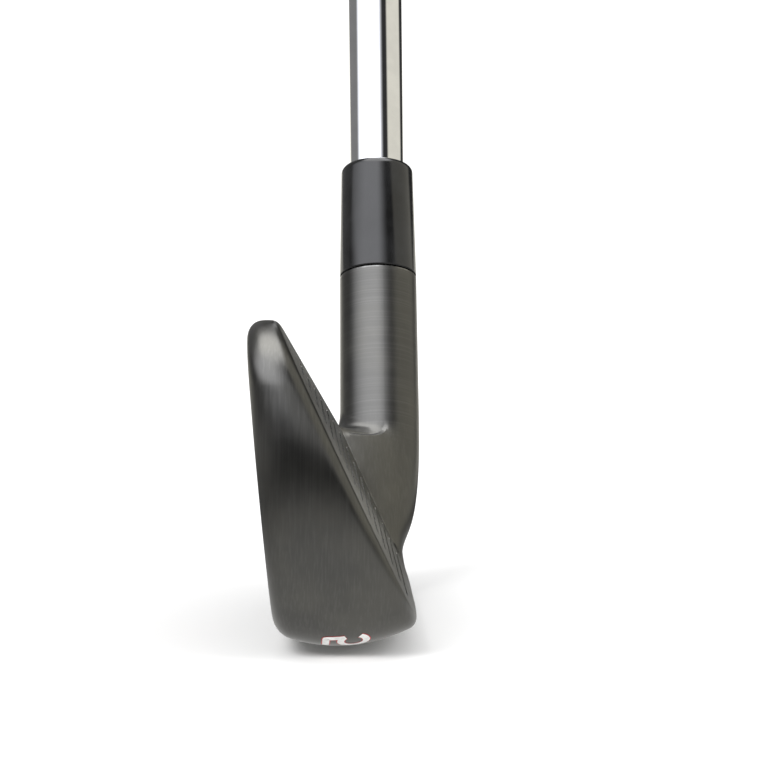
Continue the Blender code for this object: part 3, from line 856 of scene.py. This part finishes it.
def painted_stroke(name, width, lift, head):
    """A ribbon of paint along the figure's centre line, laid on the sole's surface."""
    surface = BVHTree.FromObject(head, bpy.context.evaluated_depsgraph_get())
    path = five_path()
    bm = bmesh.new()
    rows = []
    for index, point in enumerate(path):
        before = path[max(index - 1, 0)]
        after = path[min(index + 1, len(path) - 1)]
        along = (after - before).normalized()
        side = Vector((-along.y, along.x))
        row = []
        for step in range(STROKE_STEPS + 1):
            offset = (step / STROKE_STEPS - 0.5) * width / NUMBER_SIZE
            at = point + side * offset - Vector(FIVE_MIDDLE)
            row.append(on_sole(at, surface, lift))
        rows.append([bm.verts.new(place) for place in row])
    skin(bm, rows, closed=False)
    bmesh.ops.recalc_face_normals(bm, faces=bm.faces)
    return add_object(name, bm)


def on_sole(at, surface, lift):
    """A point of the number's grid, thrown onto the sole near the toe from outside."""
    turned = Matrix.Rotation(NUMBER_TURN, 2) @ at
    x = NUMBER_CENTRE[0] + turned.x * NUMBER_SIZE
    y = NUMBER_CENTRE[1] + turned.y * NUMBER_SIZE
    outward = Vector(PAINT_FROM).normalized()
    origin = Vector((x, y, 0.0)) + outward * PAINT_REACH
    hit, normal, _, _ = surface.ray_cast(origin, -outward)
    return hit + normal * lift


# ---- materials


OLIVE = 0.6
NOISE_RANGE = (0.3, 0.7)


class Graph:
    """Short calls for building one material's nodes."""

    def __init__(self, name):
        self.material = bpy.data.materials.new(name)
        self.material.use_nodes = True
        self.tree = self.material.node_tree
        self.shader = self.tree.nodes["Principled BSDF"]

    def node(self, kind, inputs=(), **settings):
        made = self.tree.nodes.new("ShaderNode" + kind)
        for key, value in settings.items():
            setattr(made, key, value)
        for key, value in dict(inputs).items():
            self.feed(made.inputs[key], value)
        return made

    def feed(self, socket, value):
        if isinstance(value, bpy.types.NodeSocket):
            self.tree.links.new(value, socket)
        else:
            socket.default_value = value

    def place(self):
        return self.node("TexCoord").outputs["Object"]

    def split(self, vector):
        parts = self.node("SeparateXYZ", {"Vector": vector}).outputs
        return parts["X"], parts["Y"], parts["Z"]

    def joined(self, x, y=0.0):
        return self.node("CombineXYZ", {"X": x, "Y": y}).outputs[0]

    def math(self, operation, a, b=0.0, c=0.0):
        return self.node("Math", {0: a, 1: b, 2: c}, operation=operation).outputs[0]

    def times(self, a, b):
        return self.math("MULTIPLY", a, b)

    def vector_math(self, operation, a, b=(0.0, 0.0, 0.0)):
        made = self.node("VectorMath", {0: a, 1: b}, operation=operation)
        return made.outputs["Value" if operation in ("DOT_PRODUCT", "LENGTH") else "Vector"]

    def remap(self, value, low, high, to_low=0.0, to_high=1.0):
        """A smooth step of the value, from low to high."""
        return self.node("MapRange", {
            "Value": value, "From Min": low, "From Max": high,
            "To Min": to_low, "To Max": to_high,
        }, interpolation_type="SMOOTHSTEP").outputs["Result"]

    def spread(self, noise, low=0.0, high=1.0):
        """A noise's usual range of values, stretched to run from low to high."""
        return self.remap(noise, *NOISE_RANGE, low, high)

    def noise(self, vector, scale, detail=2.0, roughness=0.5):
        return self.node("TexNoise", {
            "Vector": vector, "Scale": scale, "Detail": detail, "Roughness": roughness,
        }).outputs[0]

    def grain(self, vector, scales, detail=3.0, roughness=0.5):
        """A noise with its own scale along each axis, for brushed and creped surfaces."""
        return self.noise(self.vector_math("MULTIPLY", vector, scales), 1.0, detail, roughness)

    def mix(self, factor, a, b):
        return self.node("Mix", {0: factor, 6: a, 7: b}, data_type="RGBA").outputs[2]

    def mix_values(self, factor, a, b):
        return self.node("Mix", {0: factor, 2: a, 3: b}, data_type="FLOAT").outputs[0]

    def edge_wear(self, radius, low, high):
        """1 on convex and concave edges tighter than the radius, 0 on open surfaces."""
        soft = self.node("Bevel", {"Radius": radius}, samples=6).outputs["Normal"]
        sharp = self.node("NewGeometry").outputs["Normal"]
        return self.remap(self.vector_math("DOT_PRODUCT", soft, sharp), high, low)

    def finished(self, base, metallic, rough, relief, depth, strength):
        """The material, with its colour, metal, roughness and relief set."""
        normal = self.node("Bump", {
            "Height": relief, "Distance": depth, "Strength": strength,
        }).outputs["Normal"]
        for socket, value in (
            ("Base Color", base), ("Metallic", metallic), ("Roughness", rough), ("Normal", normal)
        ):
            self.feed(self.shader.inputs[socket], value)
        return self.material

    def glowing(self, light):
        """The material as a plain light source of one node colour."""
        emission = self.node("Emission", {"Color": light, "Strength": 1.0})
        self.feed(self.tree.nodes["Material Output"].inputs["Surface"], emission.outputs[0])
        self.tree.nodes.remove(self.shader)
        return self.material


def grey(value, warmth=0.0):
    """A grey that leans to olive brown when warmth is above 0, and to blue below it."""
    return (value * (1 + warmth), value * (1 + OLIVE * warmth), value * (1 - warmth), 1.0)


def along_axis(graph, place):
    """Distance up the shaft's axis, distance from it, and the way out from it."""
    direction = tuple(axis_direction())
    offset = graph.vector_math("SUBTRACT", place, tuple(axis_point(0.0)))
    up = graph.vector_math("DOT_PRODUCT", offset, direction)
    scaled = graph.node("VectorMath", {"Scale": up}, operation="SCALE")
    scaled.inputs[0].default_value = direction
    out = graph.vector_math("SUBTRACT", offset, scaled.outputs["Vector"])
    return up, graph.vector_math("LENGTH", out), out


# Where the steel's grain turns from upright to turned: up the shaft's axis, and out from it
HOSEL_GRAIN_UP = (22.0 * MM, 34.0 * MM)
HOSEL_GRAIN_OUT = (11.0 * MM, 8.0 * MM)
HOSEL_GRAIN_SCALES = (4200.0, 60.0)
BLADE_GRAIN_SCALES = (3200.0, 900.0, 60.0)


def black_steel():
    """Satin black finish over brushed steel: turned grain on the hosel, upright on the blade."""
    dark, pale = grey(0.098, 0.03), grey(0.118, 0.05)
    brushed, bare = grey(0.2, 0.03), grey(0.42, 0.02)
    g = Graph("satin_black_steel")
    place = g.place()
    up, away, _ = along_axis(g, place)
    on_hosel = g.times(g.remap(up, *HOSEL_GRAIN_UP), g.remap(away, *HOSEL_GRAIN_OUT))
    blade_grain = g.grain(place, BLADE_GRAIN_SCALES)
    rings, outward = HOSEL_GRAIN_SCALES
    hosel_grain = g.noise(g.joined(g.times(up, rings), g.times(away, outward)), 1.0, 3.0)
    grain = g.mix_values(on_hosel, blade_grain, hosel_grain)
    mottle = g.noise(place, 70.0, 3.0, 0.6)
    speck = g.noise(place, 2600.0, 2.0, 0.7)
    base = g.mix(g.remap(mottle, 0.35, 0.65), dark, pale)
    base = g.mix(g.remap(grain, 0.42, 0.72, 0.0, 0.16), base, brushed)
    patches = g.remap(g.noise(place, 420.0, 4.0), 0.42, 0.68)
    worn = g.times(g.edge_wear(0.5 * MM, 0.955, 0.998), patches)
    base = g.mix(g.times(worn, 0.5), base, bare)
    rough = g.math("ADD", g.spread(mottle, 0.30, 0.37), g.spread(grain, -0.012, 0.02))
    rough = g.math("SUBTRACT", rough, g.times(worn, 0.08))
    relief = g.math("ADD", grain, g.times(speck, 0.35))
    return g.finished(base, 1.0, rough, relief, 0.008 * MM, 0.3)


def chrome():
    """Mirror plate with faint haze and the odd hairline along the shaft."""
    g = Graph("mirror_chrome")
    place = g.place()
    _, _, out = along_axis(g, place)
    haze = g.noise(place, 300.0, 3.0)
    hair = g.noise(out, 5200.0, 1.0)
    base = g.mix(g.spread(haze), grey(0.80, -0.01), grey(0.86, -0.008))
    rough = g.math("ADD", g.remap(haze, 0.35, 0.7, 0.03, 0.06), g.remap(hair, 0.6, 0.8, 0.0, 0.03))
    return g.finished(base, 1.0, rough, haze, 0.004 * MM, 0.2)


def gloss_plastic():
    """Polished black ferrule plastic with buffing haze and fine turning marks."""
    g = Graph("gloss_black_plastic")
    place = g.place()
    up, _, _ = along_axis(g, place)
    rings = g.noise(g.joined(g.times(up, 2600.0)), 1.0, 2.0)
    haze = g.noise(place, 180.0, 4.0, 0.6)
    base = g.mix(g.spread(haze), grey(0.006), grey(0.012, -0.03))
    g.shader.inputs["Coat Weight"].default_value = 0.1
    g.shader.inputs["Coat Roughness"].default_value = 0.06
    return g.finished(base, 0.0, g.spread(haze, 0.10, 0.16), rings, 0.004 * MM, 0.35)


def rubber(name, tone, fleck):
    """Moulded rubber: fine tooth, dusty high spots."""
    g = Graph(name)
    place = g.place()
    tooth = g.noise(place, 1500.0, 4.0, 0.65)
    cloud = g.noise(place, 60.0, 3.0)
    base = g.mix(g.spread(cloud), grey(tone), grey(tone * 1.5, 0.02))
    worn = g.times(g.edge_wear(0.4 * MM, 0.9, 0.995), 0.5)
    base = g.mix(worn, base, grey(tone + fleck))
    g.shader.inputs["Specular IOR Level"].default_value = 0.35
    return g.finished(base, 0.0, g.spread(tooth, 0.62, 0.82), tooth, 0.06 * MM, 0.6)


def foam():
    """Grey foam tape with open cells."""
    g = Graph("foam_tape_pad")
    cells = g.node("TexVoronoi", {"Vector": g.place(), "Scale": 2600.0})
    cells = cells.outputs["Distance"]
    base = g.mix(g.remap(cells, 0.0, 0.6), grey(0.12), grey(0.34, 0.01))
    return g.finished(base, 0.0, g.remap(cells, 0.0, 0.6, 0.8, 0.95), cells, 0.12 * MM, 0.8)


def paper_tape():
    """Buff paper tape: fibres in its colour, creping in its surface."""
    g = Graph("buff_tape_paper")
    place = g.place()
    fibre = g.grain(place, (900.0, 1600.0, 400.0), 5.0, 0.7)
    creped = g.noise(place, 700.0, 3.0)
    base = g.mix(g.spread(fibre), (0.50, 0.44, 0.33, 1.0), (0.66, 0.60, 0.48, 1.0))
    return g.finished(base, 0.0, g.spread(creped, 0.75, 0.9), creped, 0.05 * MM, 0.6)


def turned_metal(name, colour, dark, scales, roughness):
    """Bare metal with tool marks, for the plug and the toe weight."""
    g = Graph(name)
    place = g.place()
    marks = g.grain(place, scales)
    cloud = g.noise(place, 240.0, 3.0)
    base = g.mix(g.spread(cloud), (*dark, 1.0), (*colour, 1.0))
    rough = g.spread(marks, roughness, roughness + 0.15)
    return g.finished(base, 1.0, rough, marks, 0.02 * MM, 0.5)


def badge_metal():
    """Dark anodised plate: brushed lengthwise, with one painted accent bar."""
    g = Graph("anodised_badge")
    place = g.place()
    brushed = g.grain(place, (500.0, 60.0, 5200.0))
    _, y, z = g.split(place)
    slant = g.math("ADD", y, g.times(z, BADGE_BAR_SLANT))
    base = g.mix(g.remap(brushed, 0.35, 0.65), grey(0.13), grey(0.21))
    bar = 1.0
    for value, (low, high) in ((slant, BADGE_BAR_Y), (z, BADGE_BAR_Z)):
        bar = g.times(bar, g.math("GREATER_THAN", value, low))
        bar = g.times(bar, g.math("LESS_THAN", value, high))
    base = g.mix(bar, base, (0.42, 0.02, 0.015, 1.0))
    worn = g.edge_wear(0.3 * MM, 0.93, 0.995)
    base = g.mix(g.times(worn, 0.6), base, grey(0.5))
    metal = g.math("SUBTRACT", 1.0, bar)
    return g.finished(base, metal, g.spread(brushed, 0.26, 0.4), brushed, 0.02 * MM, 0.4)


def paint(name, colour):
    """Brushed-in paint with a soft skin and a few chips."""
    g = Graph(name)
    place = g.place()
    skin = g.noise(place, 900.0, 3.0)
    chips = g.noise(place, 1600.0, 5.0, 0.75)
    faded = tuple(c * 0.82 for c in colour)
    base = g.mix(g.spread(skin), (*faded, 1.0), (*colour, 1.0))
    base = g.mix(g.remap(chips, 0.70, 0.74, 0.0, 0.6), base, grey(0.1))
    return g.finished(base, 0.0, g.spread(skin, 0.32, 0.45), skin, 0.02 * MM, 0.4)


def band_film():
    """Dark film with two fine silver rules near its edges."""
    g = Graph("band_film")
    place = g.place()
    up, _, _ = along_axis(g, place)
    grain = g.noise(place, 1400.0, 3.0)
    base = g.mix(g.spread(grain), grey(0.03), grey(0.045, -0.02))
    for part in (0.12, 0.88):
        inside = g.math("COMPARE", up, BAND_START + BAND_LENGTH * part, 0.5 * MM)
        base = g.mix(inside, base, grey(0.5))
    return g.finished(base, 0.0, g.spread(grain, 0.22, 0.34), grain, 0.01 * MM, 0.4)


def floor_finish():
    """Matt white paint, a little cloudy."""
    g = Graph("pale_studio_floor")
    place = g.place()
    cloud = g.noise(place, 3.0, 4.0)
    tooth = g.noise(place, 700.0, 3.0)
    base = g.mix(g.spread(cloud), grey(0.90), grey(0.92, 0.003))
    g.shader.inputs["Specular IOR Level"].default_value = 0.1
    return g.finished(base, 0.0, g.spread(tooth, 0.75, 0.85), tooth, 0.02 * MM, 0.2)


def wear(item, finish):
    """Gives a piece its finish and its body."""
    item.data.materials.clear()
    item.data.materials.append(finish)
    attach(item, "root")


def repaint(node, finish):
    """Gives a CAD node its finish."""
    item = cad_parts[node]
    for slot in item.material_slots:
        slot.material = finish
    if not item.material_slots:
        item.data.materials.append(finish)


# ---- studio


def window(g, value, between, fades):
    """1 between two angles in degrees, fading to 0 over so many degrees outside each."""
    low, high = between
    rise = g.remap(value, math.radians(low - fades[0]), math.radians(low))
    fall = g.remap(value, math.radians(high + fades[1]), math.radians(high))
    return g.times(rise, fall)


# Softboxes seen in glossy surfaces. Each row: azimuth range in degrees, with 0 towards the front
# of the studio and 90 on the target side; softness of its two sides; height range and softness;
# level; warmth.
SOFTBOXES = (
    ((-46.0, -6.0), (84.0, 44.0), (28.0, 90.0), 16.0, 3.1, -0.03),
    ((62.0, 120.0), (10.0, 12.0), (0.0, 60.0), 16.0, 0.72, 0.08),
    ((14.0, 52.0), (14.0, 14.0), (13.0, 27.0), 8.0, 0.75, 0.0),
    ((-165.0, -105.0), (25.0, 10.0), (-10.0, 40.0), 12.0, 0.22, 0.0),
    ((-180.0, 180.0), (0.0, 0.0), (68.0, 90.0), 14.0, 4.2, -0.01),
)
ROOM_GLOW = 0.035
DOME_RADIUS = 1.25
DOME_CENTRE = (0.0, 0.12, 0.0)


def studio_dome():
    """The studio's walls and softboxes as glossy surfaces see them."""
    bm = bmesh.new()
    bmesh.ops.create_uvsphere(bm, u_segments=96, v_segments=48, radius=DOME_RADIUS)
    dome = add_object("studio_dome", bm)
    dome.location = DOME_CENTRE
    g = Graph("studio_softboxes")
    x, y, z = g.split(g.vector_math("NORMALIZE", g.place()))
    azimuth = g.math("ARCTAN2", x, g.times(y, -1.0))
    height = g.math("ARCSINE", z)
    light = grey(ROOM_GLOW)
    for azimuths, fades, heights, soft, level, warmth in SOFTBOXES:
        lit = window(g, height, heights, (soft, soft))
        if azimuths[1] - azimuths[0] < 360.0:
            lit = g.times(lit, window(g, azimuth, azimuths, fades))
        light = g.mix(lit, light, grey(level, warmth))
    dome.data.materials.append(g.glowing(light))
    glossy_only(dome)


# Painted reflection of the floor on a glowing sheet: its pale disc round the head, its glowing left
# side, and its glowing far side: where each starts and ends, and how bright it is
SHEET_CENTRE = (0.03, -0.02, 0.0)
SHEET_DISC = (0.14, 0.045)
SHEET_LEVEL = 0.8
SHEET_SIDE = (-0.06, -0.16)
SHEET_SIDE_LEVEL = 0.45
SHEET_BEYOND = (0.12, 0.28)
SHEET_BEYOND_LEVEL = 0.9
SHEET_Z = 0.05 * MM


def studio_sheet():
    """A glowing sheet under the club that only reflections show, painting the floor's reflection
    pale near by and dark farther off.
    """
    bm = bmesh.new()
    bmesh.ops.create_grid(bm, x_segments=4, y_segments=4, size=DOME_RADIUS)
    sheet = add_object("studio_sheet", bm)
    sheet.location = (DOME_CENTRE[0], DOME_CENTRE[1], SHEET_Z)
    g = Graph("studio_sheet_light")
    place = g.vector_math("ADD", g.place(), (0.0, DOME_CENTRE[1], 0.0))
    away = g.vector_math("LENGTH", g.vector_math("SUBTRACT", place, SHEET_CENTRE))
    x, y, _ = g.split(place)
    light = g.mix(g.remap(x, *SHEET_SIDE), grey(ROOM_GLOW), grey(SHEET_SIDE_LEVEL))
    light = g.mix(g.remap(y, *SHEET_BEYOND), light, grey(SHEET_BEYOND_LEVEL, 0.06))
    light = g.mix(g.remap(away, *SHEET_DISC), light, grey(SHEET_LEVEL, 0.01))
    sheet.data.materials.append(g.glowing(light))
    glossy_only(sheet)


def glossy_only(item):
    """A studio piece that shows in reflections and nowhere else."""
    for ray in ("camera", "diffuse", "shadow", "transmission", "volume_scatter"):
        setattr(item, "visible_" + ray, False)


FLOOR_HALF = 45.0
FLOOR_Z = -0.1 * MM
WORLD_LEVEL = 1.0
LIGHT_TARGET = Vector((0.0, 0.2, 0.4))
LIGHT_SIZE = 1.6
KEY_PLACE = Vector((-1.6, -1.8, 2.2))
KEY_POWER = 60.0
FILL_PLACE = Vector((2.2, -0.6, 1.6))
FILL_POWER = 25.0


def floor_and_sky():
    """A plain pale floor, which reflections don't show, under a white sky."""
    bm = bmesh.new()
    bmesh.ops.create_grid(bm, x_segments=1, y_segments=1, size=FLOOR_HALF)
    floor = add_object("studio_floor", bm)
    floor.location.z = FLOOR_Z
    floor.data.materials.append(floor_finish())
    floor.visible_glossy = False
    world = bpy.data.worlds.new("pale_studio")
    world.use_nodes = True
    background = world.node_tree.nodes["Background"]
    background.inputs["Color"].default_value = (1.0, 1.0, 1.0, 1.0)
    background.inputs["Strength"].default_value = WORLD_LEVEL
    bpy.context.scene.world = world


def area_light(name, place, power):
    """A soft light for matt surfaces; glossy ones see the dome's softboxes instead."""
    data = bpy.data.lights.new(name, "AREA")
    data.shape = "RECTANGLE"
    data.size, data.size_y = LIGHT_SIZE, LIGHT_SIZE
    data.energy = power
    lamp = bpy.data.objects.new(name, data)
    bpy.context.scene.collection.objects.link(lamp)
    lamp.location = place
    lamp.rotation_mode = "QUATERNION"
    lamp.rotation_quaternion = (LIGHT_TARGET - place).to_track_quat("-Z", "Y")
    lamp.visible_camera = False
    lamp.visible_glossy = False


CAMERA_PLACE = Vector((-0.0385, -1.1318, 0.1958))
CAMERA_HEADING = math.radians(-2.26)
CAMERA_DROP = math.radians(7.74)
CAMERA_ROLL = math.radians(0.506)
CAMERA_LENS = 323.24
CAMERA_CLIP = (0.05, 200.0)


def camera():
    """A long lens at the toe, looking along the blade and slightly down."""
    data = bpy.data.cameras.new("camera")
    data.lens = CAMERA_LENS
    data.clip_start, data.clip_end = CAMERA_CLIP
    item = bpy.data.objects.new("camera", data)
    bpy.context.scene.collection.objects.link(item)
    level = math.cos(CAMERA_DROP)
    ahead = Vector((
        -math.sin(CAMERA_HEADING) * level, math.cos(CAMERA_HEADING) * level, -math.sin(CAMERA_DROP)
    ))
    right = ahead.cross(Vector((0.0, 0.0, 1.0))).normalized()
    above = right.cross(ahead)
    rolled_right = right * math.cos(CAMERA_ROLL) + above * math.sin(CAMERA_ROLL)
    rolled_above = above * math.cos(CAMERA_ROLL) - right * math.sin(CAMERA_ROLL)
    turn = Matrix((rolled_right, rolled_above, -ahead)).transposed().to_4x4()
    item.matrix_world = Matrix.Translation(CAMERA_PLACE) @ turn
    bpy.context.scene.camera = item


# ---- the whole club


def main():
    """Dresses every piece, then sets up the studio and the camera."""
    steel = black_steel()
    head = build_head()
    bpy.context.view_layer.update()
    wear(head, steel)
    outline = painted_stroke("sole_number_edge", STROKE + 2 * PAINT_EDGE, PAINT_LIFT, head)
    figure = painted_stroke("sole_number", STROKE, 2 * PAINT_LIFT, head)
    wear(outline, paint("red_paint_fill", (0.45, 0.02, 0.02)))
    wear(figure, paint("white_paint_fill", (0.86, 0.86, 0.84)))
    wear(build_ferrule(), gloss_plastic())
    wear(build_shaft(), chrome())
    wear(build_band(), band_film())
    wear(build_grip(), rubber("grip_rubber_moulded", 0.022, 0.05))
    wear(build_cap(), rubber("cap_rubber_moulded", 0.02, 0.05))
    wear(build_badge(), badge_metal())
    repaint("cavity_damper", rubber("damper_rubber", 0.018, 0.04))
    repaint("badge_pad", foam())
    repaint("grip_tape", paper_tape())
    repaint("toe_weight", turned_metal(
        "sintered_tungsten", (0.32, 0.32, 0.33), (0.22, 0.22, 0.23), (900.0, 3000.0, 900.0), 0.38
    ))
    repaint("tip_weight", turned_metal(
        "turned_brass", (0.74, 0.56, 0.27), (0.55, 0.40, 0.18), (800.0, 1800.0, 3400.0), 0.22
    ))
    floor_and_sky()
    studio_dome()
    studio_sheet()
    area_light("key_light", KEY_PLACE, KEY_POWER)
    area_light("fill_light", FILL_PLACE, FILL_POWER)
    camera()
    bpy.context.scene.view_settings.view_transform = "Standard"


main()
bpy.context.view_layer.update()
